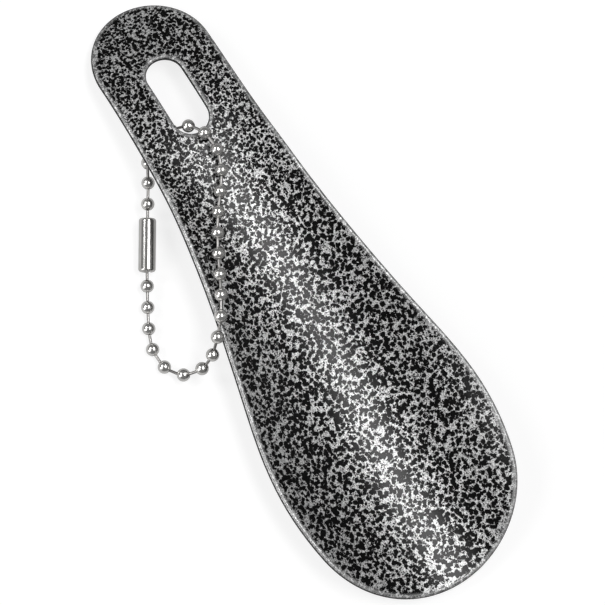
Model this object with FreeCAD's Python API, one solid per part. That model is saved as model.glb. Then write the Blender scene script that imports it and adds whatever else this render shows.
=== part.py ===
"""A pocket shoehorn of stamped sheet metal with a ball-chain loop through the slot in its handle.

It lies on its back with the hollow of the blade up. Millimetres. X runs from the handle to the tip,
Y across the blade, Z up, and the origin is the centre of the hanging slot, in the middle of the sheet.
"""
import FreeCAD, Part
import os
from math import ceil, cos, degrees, radians, sin, sqrt

V = FreeCAD.Vector
os.makedirs("parts", exist_ok=True)

# Horn, seen from above
horn_length = 120.0
handle_width = 22.4
blade_width = 42.4
widest_from_tip = 28.0
tip_radius = 20.4
tip_turn = 77.5  # degrees of the tip's arc, from the centre line to each flank
flank = ((0.36, 0.13), (0.56, 0.37), (0.76, 0.70), (0.90, 0.93))  # share of the way, of the widening

# Horn, seen from the side: the middle line of its sheet, from the handle's end to the tip
sheet_thickness = 1.3
edge_radius = 0.5
handle_lean = 24.0  # degrees that the handle's end leans back
handle_flat = 3.0
handle_bend_radius = 64.0
blade_fall = 9.5  # degrees that the blade falls away from the neck
neck_radius = 190.0
blade_flat = 14.0
belly_radius = 120.0
tip_rise = 3.0  # degrees that the tip rises again

# Horn, cut across: the trough of the blade
trough_radius = 36.0
handle_crown_radius = 900.0
blank_width = 1.25 * blade_width
section_step = 7.5
trough_start = 22.0
trough_full = 38.0

# Hanging slot
slot_width = 6.8
slot_length = 15.6
slot_from_end = 19.2

# Ball chain
bead_count = 27
bead_radius = 1.2
bead_wall = 0.16
bead_hole_radius = 0.54
pin_radius = 0.26
pin_length = 2.6  # between the centres of its two heads
pin_head_radius = 0.58
head_gap = 0.05  # between the two heads inside one bead

# Connector
connector_length = 9.7
connector_wall = 0.25
connector_clearance = 0.1
connector_end_wall = 0.3
connector_end_round = 0.55
connector_slit = 0.7
connector_mouth_radius = 0.84
end_bead_seat = 0.2  # how far an end bead stands into the mouth

# How the loop lies: its strands run slantwise off the handle
slot_pass = (25.08, -1.3)  # from the handle's end and the centre line, where the chain dips in
pass_on_strands = (-6.34, 5.24)  # the same place, along and across the strands
strand_on_horn = 30.5  # from the strands' start to the rim, where they drop to the table
strand_spacing = 12.1
table_clearance = 0.05

BIG = 400.0


# ---------------------------------------------------------------- horn
def profile_pieces():
    """Length and turn in degrees of each piece of the sheet's middle line, handle to tip."""
    def arc(radius, turn):
        return (radius * radians(abs(turn)), turn)
    return [
        (handle_flat, 0.0),
        arc(handle_bend_radius, -handle_lean),
        arc(neck_radius, -blade_fall),
        (blade_flat, 0.0),
        arc(belly_radius, blade_fall + tip_rise),
        (horn_length, 0.0),
    ]


def profile(distance):
    """Point and slope in radians of the sheet's middle line, this far from the handle's end."""
    x, z, slope = 0.0, 0.0, radians(handle_lean)
    if distance < 0:
        return V(distance * cos(slope), 0, distance * sin(slope)), slope
    for length, turn in profile_pieces():
        step = min(length, distance)
        bend = radians(turn) * step / length
        chord = step if not bend else step * sin(bend / 2) / (bend / 2)
        x += chord * cos(slope + bend / 2)
        z += chord * sin(slope + bend / 2)
        slope += bend
        distance -= step
        if distance <= 0:
            break
    return V(x, 0, z), slope


def distance_at(x):
    """How far along the middle line the sheet reaches this x."""
    low, high = 0.0, 2 * horn_length
    for _ in range(50):
        middle = (low + high) / 2
        if profile(middle)[0].x < x:
            low = middle
        else:
            high = middle
    return low


SLOT_POINT, SLOT_SLOPE = profile(distance_at(slot_from_end))


def placed(point):
    """From the handle's end to the part's own origin, at the slot."""
    return point - SLOT_POINT


def trough_curvature(x):
    """The hollow starts behind the slot and reaches its full depth where the blade widens."""
    way = min(max((x - trough_start) / (trough_full - trough_start), 0.0), 1.0)
    ease = way * way * (3 - 2 * way)
    return 1 / handle_crown_radius + ease * (1 / trough_radius - 1 / handle_crown_radius)


def section(distance):
    """The sheet cut square to its middle line: two arcs about one centre, joined at the sides."""
    point, slope = profile(distance)
    up = V(-sin(slope), 0, cos(slope))
    radius = 1 / trough_curvature(point.x)
    centre = placed(point) + up * radius
    half_angle = blank_width / 2 / radius

    def on_arc(r, angle):
        return centre - up * (r * cos(angle)) + V(0, r * sin(angle), 0)

    def arc(r, side):
        return Part.Arc(*[on_arc(r, side * a) for a in (-half_angle, 0, half_angle)]).toShape()
    inner, outer = radius - sheet_thickness / 2, radius + sheet_thickness / 2
    return Part.Wire([
        arc(inner, 1),
        Part.makeLine(on_arc(inner, half_angle), on_arc(outer, half_angle)),
        arc(outer, -1),
        Part.makeLine(on_arc(outer, -half_angle), on_arc(inner, -half_angle)),
    ])


def formed_sheet():
    """The curved sheet, before its outline is cut."""
    count = ceil(horn_length / section_step) + 3
    return Part.makeLoft([section((n - 1) * section_step) for n in range(count)], True, False)


def outline():
    """The horn seen from above, from its handle's end at x = 0."""
    handle = handle_width / 2
    centre = horn_length - tip_radius
    turn = radians(tip_turn)
    start = V(handle, handle, 0)
    end = V(centre + tip_radius * cos(turn), tip_radius * sin(turn), 0)
    widest = horn_length - widest_from_tip
    middle = [
        V(handle + along * (widest - handle), handle + wide * (blade_width / 2 - handle), 0)
        for along, wide in flank
    ]
    side = Part.BSplineCurve()
    side.interpolate(Points=[start, *middle, V(widest, blade_width / 2, 0), end],
                     InitialTangent=V(1, 0, 0), FinalTangent=V(sin(turn), -cos(turn), 0),
                     Scale=False)
    upper = side.toShape()
    lower = upper.mirror(V(0, 0, 0), V(0, 1, 0))
    flip = V(end.x, -end.y, 0)
    tip = Part.Arc(end, V(horn_length, 0, 0), flip).toShape()
    back = Part.Arc(start, V(0, 0, 0), V(handle, -handle, 0)).toShape()
    return Part.Wire(Part.__sortEdges__([back, upper, tip, lower]))


def slot_prism():
    """An upright bar with round ends, square to the sheet at the middle of the slot."""
    half = slot_width / 2
    reach = slot_length / 2 - half
    wire = Part.Wire([
        Part.makeLine(V(-reach, half, 0), V(reach, half, 0)),
        Part.Arc(V(reach, half, 0), V(reach + half, 0, 0), V(reach, -half, 0)).toShape(),
        Part.makeLine(V(reach, -half, 0), V(-reach, -half, 0)),
        Part.Arc(V(-reach, -half, 0), V(-reach - half, 0, 0), V(-reach, half, 0)).toShape(),
    ])
    height = 8 * sheet_thickness
    bar = Part.Face(wire).extrude(V(0, 0, height))
    bar.translate(V(0, 0, -height / 2))
    bar.rotate(V(0, 0, 0), V(0, 1, 0), -degrees(SLOT_SLOPE))
    return bar


def make_horn():
    stencil = Part.Face(outline()).extrude(V(0, 0, BIG))
    stencil.translate(placed(V(0, 0, -BIG / 2)))
    blank = formed_sheet().common(stencil).cut(slot_prism())
    blank = blank.Solids[0]
    rims = [e for e in blank.Edges if not is_across(e)]
    return blank.makeFillet(edge_radius, rims)


def is_across(edge):
    """A short straight edge that runs through the sheet, between two faces of one rim."""
    return edge.Length < 1.6 * sheet_thickness


# ---------------------------------------------------------------- ball chain
head_offset = pin_head_radius + head_gap / 2


def strand_frame(turn):
    """Where the strands start, their direction and the one across them, seen from above."""
    along = V(cos(turn), sin(turn), 0)
    across = V(sin(turn), -cos(turn), 0)
    dip = V(slot_pass[0], slot_pass[1], 0)
    return dip - along * pass_on_strands[0] - across * pass_on_strands[1], along, across


def turn_to_rim():
    """Radians from the centre line to the strands, seen from above, so that they meet the rim."""
    horn_seen = Part.Face(outline())
    low, high = 0.0, radians(60)
    for _ in range(40):
        turn = (low + high) / 2
        start, along, across = strand_frame(-turn)
        if horn_seen.isInside(start + along * strand_on_horn, 0.001, True):
            low = turn
        else:
            high = turn
    return -low


strand_turn = turn_to_rim()


def on_sheet(distance):
    """Height over the slot of a bead that lies on the sheet, this far along the front strand."""
    start, along, across = strand_frame(strand_turn)
    x, y, z = start + along * distance
    radius = 1 / trough_curvature(x)
    point, slope = profile(distance_at(x))
    rise = radius - sqrt(radius ** 2 - y ** 2)
    return placed(point).z + rise + sheet_thickness / 2 / cos(slope) + bead_radius


def loop_points(extra, floor):
    """Places the loop passes, from the connector's far end round to its near end.

    Along the strands, across from the front strand to the rear one, and height over the slot.
    The far bend lies on the table, and extra moves it out along the strands.
    """
    lying = floor + bead_radius + table_clearance
    crest = placed(profile(handle_flat + handle_bend_radius * radians(handle_lean))[0]).z
    over = crest + sheet_thickness / 2 + bead_radius
    under = crest - sheet_thickness / 2 - bead_radius
    edge = strand_on_horn
    rim = on_sheet(edge)
    rear = strand_spacing
    return [
        (17.6, rear, lying + 1.3),
        (21.6, rear - 0.1, lying + 0.8),
        (29.0 + extra, rear - 0.4, lying + 0.15),
        (33.0 + extra, rear - 0.9, lying),
        (36.3 + extra, rear - 2.6, lying),
        (38.3 + extra, rear - 5.4, lying + 0.45),
        (38.2 + extra, rear - 8.6, lying + 1.9),
        (36.5 + extra, 1.3, lying + 4.3),
        (edge + 3.4 + extra, 0.5, rim - 1.4),
        (edge - 0.1, 0.0, rim),
        (20.0, 0.0, on_sheet(20.0) + 0.43),
        (8.2, 0.0, over + 0.2),
        (-0.2, -0.2, over + 0.35),
        (-3.4, 1.4, over + 0.7),
        (-6.1, 4.5, crest + 0.9),
        (-6.3, 7.2, under + 0.15),
        (-4.6, 10.1, under - 1.45),
        (-1.0, 12.0, under - 1.7),
        (3.3, rear, lying + 2.9),
        (7.0, rear, lying + 2.5),
        (11.0, rear, lying + 2.0),
    ]


def loop_curve(extra, floor):
    """A smooth curve through the places above, in the part's own frame."""
    start, along, across = strand_frame(strand_turn)
    start = placed(start + V(0, 0, SLOT_POINT.z))
    curve = Part.BSplineCurve()
    curve.interpolate([start + along * a + across * c + V(0, 0, z)
                       for a, c, z in loop_points(extra, floor)])
    return curve


def next_on(curve, at, reach):
    """The curve's parameter where it is this far from its own point at this parameter."""
    here = curve.value(at)
    span = curve.LastParameter - curve.FirstParameter
    low = at
    high = at
    while (curve.value(high) - here).Length < reach:
        low = high
        high = high + span / 600
    for _ in range(40):
        middle = (low + high) / 2
        if (curve.value(middle) - here).Length < reach:
            low = middle
        else:
            high = middle
    return high


def walk(curve):
    """Head centres along the chain, two in each bead, with stiff beads and stiff pins."""
    at = curve.FirstParameter
    heads = [curve.value(at)]
    for n in range(2 * bead_count - 1):
        at = next_on(curve, at, pin_length if n % 2 else 2 * head_offset)
        heads.append(curve.value(at))
    return heads


def bead_middle(heads, bead):
    return (heads[2 * bead] + heads[2 * bead + 1]) * 0.5


def laid_chain(floor):
    """Moves the far bend until the two end beads are as far apart as the connector holds them."""
    wanted = connector_length - 2 * end_reach()
    low, high = -6.0, 12.0
    for _ in range(30):
        extra = (low + high) / 2
        heads = walk(loop_curve(extra, floor))
        first = bead_middle(heads, 0)
        last = bead_middle(heads, bead_count - 1)
        along = heads[1] - heads[0]
        if (first - last).dot(along) / along.Length > wanted:
            low, high = low, extra
        else:
            low, high = extra, high
    return heads


def end_reach():
    """From an end bead's centre to the outside of the connector's end."""
    return bead_radius - end_bead_seat + connector_end_wall


def standing(shape, point, direction):
    """Turns a shape made along +Z at the origin to this direction, and moves it to this point."""
    turn = FreeCAD.Rotation(V(0, 0, 1), direction)
    shape.Placement = FreeCAD.Placement(point, turn)
    return shape


def make_bead():
    """A hollow ball with a hole at each end of its Z axis."""
    hollow = Part.makeSphere(bead_radius - bead_wall)
    drill = Part.makeCylinder(bead_hole_radius, 4 * bead_radius, V(0, 0, -2 * bead_radius))
    return Part.makeSphere(bead_radius).cut(hollow).cut(drill)


def make_pin():
    """A wire with a ball at each end, from the origin up its Z axis."""
    wire = Part.makeCylinder(pin_radius, pin_length)
    near = Part.makeSphere(pin_head_radius)
    far = Part.makeSphere(pin_head_radius, V(0, 0, pin_length))
    return wire.fuse([near, far])


def make_connector():
    """A barrel of folded sheet, from one end bead's centre up its Z axis to the other's."""
    reach = end_reach()
    inner = bead_radius + connector_clearance
    barrel = Part.makeCylinder(inner + connector_wall, connector_length, V(0, 0, -reach))
    ends = [e for e in barrel.Edges if isinstance(e.Curve, Part.Circle)]
    barrel = barrel.makeFillet(connector_end_round, ends)
    room = connector_length - 2 * connector_end_wall
    barrel = barrel.cut(Part.makeCylinder(inner, room, V(0, 0, connector_end_wall - reach)))
    mouths = Part.makeCylinder(connector_mouth_radius, connector_length, V(0, 0, -reach))
    barrel = barrel.cut(mouths)
    slit = Part.makeBox(2 * inner, connector_slit, connector_length,
                        V(0, -connector_slit / 2, -reach))
    return barrel.cut(slit)


# ---------------------------------------------------------------- the parts
def save(name, shape):
    shape.exportStep("parts/" + name + ".step")


horn = make_horn()
save("horn", horn)

heads = laid_chain(horn.optimalBoundingBox(False).ZMin)
for n in range(bead_count):
    near, far = heads[2 * n], heads[2 * n + 1]
    save(f"bead_{n + 1:02d}", standing(make_bead(), (near + far) * 0.5, far - near))
for n in range(bead_count - 1):
    near, far = heads[2 * n + 1], heads[2 * n + 2]
    save(f"pin_{n + 1:02d}", standing(make_pin(), near, far - near))

first = bead_middle(heads, 0)
last = bead_middle(heads, bead_count - 1)
save("connector", standing(make_connector(), last, first - last))

turns = [degrees((heads[n] - heads[n - 1]).getAngle(heads[n + 1] - heads[n]))
         for n in range(1, len(heads) - 1)]
print("horn is valid:", horn.isValid(), "and its box is", horn.optimalBoundingBox(False))
print("the end beads are", round((first - last).Length, 3), "apart")
print("the chain turns by up to", round(max(turns), 1), "degrees at a head")
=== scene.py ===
"""A pocket shoehorn with a ball-chain loop: how it looks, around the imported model."""
from math import cos, pi, radians, sin, tan

import bpy
from mathutils import Matrix, Vector


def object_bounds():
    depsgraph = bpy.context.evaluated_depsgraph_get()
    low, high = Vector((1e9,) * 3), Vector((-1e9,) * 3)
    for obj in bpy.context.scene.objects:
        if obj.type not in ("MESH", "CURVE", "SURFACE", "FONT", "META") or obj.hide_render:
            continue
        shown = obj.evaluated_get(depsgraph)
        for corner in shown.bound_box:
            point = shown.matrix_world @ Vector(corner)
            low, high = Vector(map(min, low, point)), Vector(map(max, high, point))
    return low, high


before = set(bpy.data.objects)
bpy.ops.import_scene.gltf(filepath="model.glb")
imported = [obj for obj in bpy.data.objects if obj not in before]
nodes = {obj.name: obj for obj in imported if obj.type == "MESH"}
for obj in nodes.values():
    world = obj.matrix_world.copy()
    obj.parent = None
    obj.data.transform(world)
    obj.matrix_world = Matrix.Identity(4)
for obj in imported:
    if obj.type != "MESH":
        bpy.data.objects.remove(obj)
model_low, model_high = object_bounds()

# ------------------------------------------------------------------ camera
# The camera looks down on the hollow of the blade, from a little towards the tip and the chain.
# The handle's end is at the top left of the frame and the tip at the bottom right.
aim = Vector((0.0434, 0.0007, -0.001))
camera_distance = 0.5
seen_width = 0.1081
lean_to_tip = radians(4.5)
lean_to_chain = radians(13)
roll = radians(59.1)

back = Vector((tan(lean_to_tip), -tan(lean_to_chain), 1)).normalized()
right = Vector((-sin(roll), cos(roll), 0)).cross(back).normalized()
up = back.cross(right)
camera = bpy.data.objects.new("camera", bpy.data.cameras.new("camera"))
bpy.context.scene.collection.objects.link(camera)
camera.matrix_world = Matrix.Translation(aim + back * camera_distance) @ Matrix(
    (right, up, back)).transposed().to_4x4()
camera.data.sensor_width = 36
camera.data.lens = camera.data.sensor_width * camera_distance / seen_width
camera.data.clip_start = 0.01
camera.data.clip_end = 10
bpy.context.scene.camera = camera
bpy.context.scene.view_settings.view_transform = "Standard"


# ------------------------------------------------------------------ table
# A wide white table. It shows as white to the camera and in the metal, and takes a soft shadow.
# Its paint gives back little light, so that the horn is lit by the lamps and not from below.
def node(tree, kind, **values):
    """A new node with these input values, or settings of its own."""
    made = tree.nodes.new(kind)
    for name, value in values.items():
        if name in made.inputs:
            made.inputs[name].default_value = value
        else:
            setattr(made, name, value)
    return made


def give(tree, socket, value):
    """Links the socket to another one, or sets it to a number or colour."""
    if isinstance(value, bpy.types.NodeSocket):
        tree.links.new(value, socket)
    else:
        socket.default_value = value


def calculate(tree, operation, first, second=0.0, third=0.0):
    """One step of arithmetic between sockets or numbers."""
    step = node(tree, "ShaderNodeMath", operation=operation)
    for socket, value in zip(step.inputs, (first, second, third)):
        give(tree, socket, value)
    return step.outputs[0]


def new_material(name):
    made = bpy.data.materials.new(name)
    made.use_nodes = True
    return made, made.node_tree, made.node_tree.nodes["Principled BSDF"]


table_size = 4
table_middle = (0.04, 0, model_low.z)
glow_to_camera = 0.8
glow_in_metal = 0.3

bpy.ops.object.select_all(action="DESELECT")
bpy.ops.mesh.primitive_plane_add(size=table_size, location=table_middle)
table = bpy.context.object
table.name = "table"
table_paint, tree, surface = new_material("white_table")
surface.inputs["Base Color"].default_value = (0.3, 0.3, 0.3, 1)
surface.inputs["Roughness"].default_value = 0.9
surface.inputs["Specular IOR Level"].default_value = 0.0
surface.inputs["Emission Color"].default_value = (1, 1, 1, 1)
rays = node(tree, "ShaderNodeLightPath").outputs
in_metal = calculate(tree, "MULTIPLY", rays["Is Glossy Ray"], glow_in_metal)
glow = calculate(tree, "MULTIPLY_ADD", rays["Is Camera Ray"], glow_to_camera, in_metal)
tree.links.new(glow, surface.inputs["Emission Strength"])
table.data.materials.append(table_paint)


# ------------------------------------------------------------------ room and lamps
# The room is a dim white, a little brighter in the metal, so that the black coat stays black.
# Four soft boxes hang round the horn. The one overhead makes the bright band down the blade.
def ramp(tree, value, start, end, low=0.0, high=1.0):
    """Goes smoothly from low to high while the value goes from start to end."""
    step = node(tree, "ShaderNodeMapRange", interpolation_type="SMOOTHSTEP")
    for name, given in (("Value", value), ("From Min", start), ("From Max", end),
                        ("To Min", low), ("To Max", high)):
        give(tree, step.inputs[name], given)
    return step.outputs["Result"]


room_on_paint = 0.10
room_in_metal = 0.17
lit_place = Vector((0.045, 0, 0))

world = bpy.data.worlds.new("studio")
bpy.context.scene.world = world
world.use_nodes = True
tree = world.node_tree
sky = tree.nodes["Background"]
sky.inputs["Color"].default_value = (1, 1, 1, 1)
rays = node(tree, "ShaderNodeLightPath").outputs
room = ramp(tree, rays["Is Glossy Ray"], 0.0, 1.0, room_on_paint, room_in_metal)
tree.links.new(room, sky.inputs["Strength"])


def softbox(name, towards, distance, size, radiance):
    """A rectangular soft light that hangs in this direction from the blade, and faces it."""
    lamp = bpy.data.lights.new(name, "AREA")
    lamp.shape = "RECTANGLE"
    lamp.size, lamp.size_y = size
    lamp.energy = radiance * pi * size[0] * size[1]
    hung = bpy.data.objects.new(name, lamp)
    bpy.context.scene.collection.objects.link(hung)
    direction = Vector(towards).normalized()
    hung.location = lit_place + direction * distance
    hung.rotation_euler = direction.to_track_quat("Z", "Y").to_euler()


softbox("overhead", towards=(0.07, 0.21, 1), distance=0.7, size=(0.46, 0.21), radiance=7.6)
softbox("left_side", towards=(-0.3, -2.0, 0.9), distance=0.8, size=(0.3, 0.6), radiance=3.0)
softbox("upper_left", towards=(-1.0, -0.9, 1.2), distance=0.8, size=(0.25, 0.25), radiance=7.0)
softbox("right_side", towards=(0.6, 1.3, 0.9), distance=0.9, size=(0.4, 0.5), radiance=0.25)


# ------------------------------------------------------------------ horn
# The horn is one sheet-metal stamping, powder coated in black with silver veins.
# The coat shrinks into black islands as it cures, and the silver flakes gather between them.
def blend_colours(tree, share, first, second):
    """From the first colour to the second one, as the share goes from 0 to 1."""
    step = node(tree, "ShaderNodeMix", data_type="RGBA")
    for socket, value in zip((step.inputs[0], step.inputs[6], step.inputs[7]),
                             (share, first, second)):
        give(tree, socket, value)
    return step.outputs[2]


# how fine each pattern is, in cells or waves to the metre
handle_islands = 1600.0
blade_islands = 1250.0
specks = 2700.0
wander_waves = 2400.0
flake_waves = 5200.0

# in metres, X along the horn from the slot to the tip
islands_grow_from = 0.015
islands_grow_to = 0.045
wander_reach = 0.0006
rim_depth = 0.0009
coat_relief = 0.00005

black_coat = (0.001, 0.001, 0.001, 1)
dark_flake = (0.36, 0.36, 0.36, 1)
bright_flake = (0.92, 0.92, 0.92, 1)

vein_coat, tree, surface = new_material("vein_coat")
coordinates = node(tree, "ShaderNodeTexCoord")
place = coordinates.outputs["Object"]

# the islands' outlines wander
wander = node(tree, "ShaderNodeTexNoise", Scale=wander_waves, Detail=2.0)
tree.links.new(place, wander.inputs["Vector"])
shift = node(tree, "ShaderNodeVectorMath", operation="MULTIPLY_ADD")
shift.inputs[1].default_value = (wander_reach,) * 3
tree.links.new(wander.outputs["Color"], shift.inputs[0])
tree.links.new(place, shift.inputs[2])
wandered = shift.outputs[0]


def islands(scale):
    """How far each place is from the middle of its island, and a random number for each island."""
    cells = node(tree, "ShaderNodeTexVoronoi", feature="F1", Scale=scale)
    tree.links.new(wandered, cells.inputs["Vector"])
    pick = node(tree, "ShaderNodeSeparateColor")
    tree.links.new(cells.outputs["Color"], pick.inputs[0])
    return cells.outputs["Distance"], pick.outputs["Red"]


def filled(distance, random, smallest, spread):
    """Black inside each island's own radius, which is in widths of a cell, with a soft edge."""
    soft_edge = 0.03
    radius = calculate(tree, "MULTIPLY_ADD", random, spread, smallest)
    return ramp(tree, calculate(tree, "SUBTRACT", radius, distance), 0.0, soft_edge)


# small islands on the handle, larger ones on the blade, and specks between them
along = node(tree, "ShaderNodeSeparateXYZ")
tree.links.new(place, along.inputs[0])
on_blade = ramp(tree, along.outputs["X"], islands_grow_from, islands_grow_to)
handle_distance, handle_random = islands(handle_islands)
blade_distance, blade_random = islands(blade_islands)
distance = ramp(tree, on_blade, 0.35, 0.65, handle_distance, blade_distance)
random = ramp(tree, on_blade, 0.35, 0.65, handle_random, blade_random)
black = filled(distance, random, smallest=0.44, spread=0.25)
black = calculate(tree, "MAXIMUM", black, filled(*islands(specks), smallest=0.2, spread=0.36))

# painted highlight and painted shade at the rims: the black is thinned to a painted silver
# highlight along the top of each rim, and the rim's side is painted black as shade
rim = node(tree, "ShaderNodeAmbientOcclusion", inside=True, only_local=True, samples=4,
           Distance=rim_depth)
off_painted_rim_highlight = ramp(tree, rim.outputs["AO"], 0.74, 0.95, 0.2, 1.0)
black = calculate(tree, "MULTIPLY", black, off_painted_rim_highlight)
# painted shade: where the sheet faces sideways, on the rim's side, it is painted black
facing = node(tree, "ShaderNodeSeparateXYZ")
tree.links.new(coordinates.outputs["Normal"], facing.inputs[0])
painted_rim_side_shade = ramp(tree, calculate(tree, "ABSOLUTE", facing.outputs["Z"]), 0.74, 0.62)
black = calculate(tree, "MAXIMUM", black, painted_rim_side_shade)

# the flakes differ from place to place
flakes = node(tree, "ShaderNodeTexNoise", Scale=flake_waves, Detail=1.0)
tree.links.new(place, flakes.inputs["Vector"])
flake_light = ramp(tree, flakes.outputs["Fac"], 0.35, 0.68)
silver = blend_colours(tree, flake_light, dark_flake, bright_flake)
tree.links.new(blend_colours(tree, black, silver, black_coat), surface.inputs["Base Color"])

# the flakes are half metal and satin, and the black is glossy and stands a little proud
tree.links.new(ramp(tree, black, 0.0, 1.0, 0.5, 0.0), surface.inputs["Metallic"])
tree.links.new(ramp(tree, black, 0.0, 1.0, 0.40, 0.22), surface.inputs["Roughness"])
surface.inputs["Specular IOR Level"].default_value = 0.24
relief = node(tree, "ShaderNodeBump", Strength=0.8, Distance=coat_relief)
height = calculate(tree, "MULTIPLY_ADD", flakes.outputs["Fac"], 0.4, black)
tree.links.new(height, relief.inputs["Height"])
tree.links.new(relief.outputs["Normal"], surface.inputs["Normal"])

horn = nodes["horn"]
horn.data.materials.clear()
horn.data.materials.append(vein_coat)


# ------------------------------------------------------------------ balls
# Each ball is rolled from thin strip round the heads of two links, and nickel plated.
# The plating is a little darker and rougher in patches, where it has been handled.
handling = bpy.data.node_groups.new("handling", "ShaderNodeTree")
handling.interface.new_socket("place", in_out="INPUT", socket_type="NodeSocketVector")
handling.interface.new_socket("worn", in_out="OUTPUT", socket_type="NodeSocketFloat")
patches = node(handling, "ShaderNodeTexNoise", Scale=500.0, Detail=2.0)
handling.links.new(node(handling, "NodeGroupInput").outputs["place"], patches.inputs["Vector"])
handling.links.new(ramp(handling, patches.outputs["Fac"], 0.35, 0.7),
                   node(handling, "NodeGroupOutput").inputs["worn"])


def nickel(name, colour, roughness):
    """Plating of this colour, its worn patches darker and rougher."""
    darker, rougher = 0.92, 1.15
    worn_colour = [darker * channel for channel in colour[:3]] + [1]
    made, tree, surface = new_material(name)
    handled = node(tree, "ShaderNodeGroup", node_tree=handling)
    tree.links.new(node(tree, "ShaderNodeTexCoord").outputs["Object"], handled.inputs["place"])
    worn = handled.outputs["worn"]
    tree.links.new(blend_colours(tree, worn, colour, worn_colour), surface.inputs["Base Color"])
    tree.links.new(ramp(tree, worn, 0.0, 1.0, roughness, rougher * roughness),
                   surface.inputs["Roughness"])
    surface.inputs["Metallic"].default_value = 1.0
    return made


def plate(start, coat):
    """Plates every piece whose name starts so."""
    for name, piece in nodes.items():
        if name.startswith(start):
            piece.data.materials.clear()
            piece.data.materials.append(coat)


plate("bead", nickel("bead_plating", colour=(0.88, 0.87, 0.85, 1), roughness=0.21))


# ------------------------------------------------------------------ link pins
# Each link is a piece of wire with a head at both ends, which turn inside two balls.
# Its plating is set darker and rougher than the balls'.
plate("pin", nickel("pin_plating", colour=(0.42, 0.41, 0.40, 1), roughness=0.3))


# ------------------------------------------------------------------ connector
# The connector is a barrel folded from thin sheet, plated and bright.
# The two end balls snap into it through the slit along its underside.
plate("connector", nickel("connector_plating", colour=(0.78, 0.77, 0.75, 1), roughness=0.17))
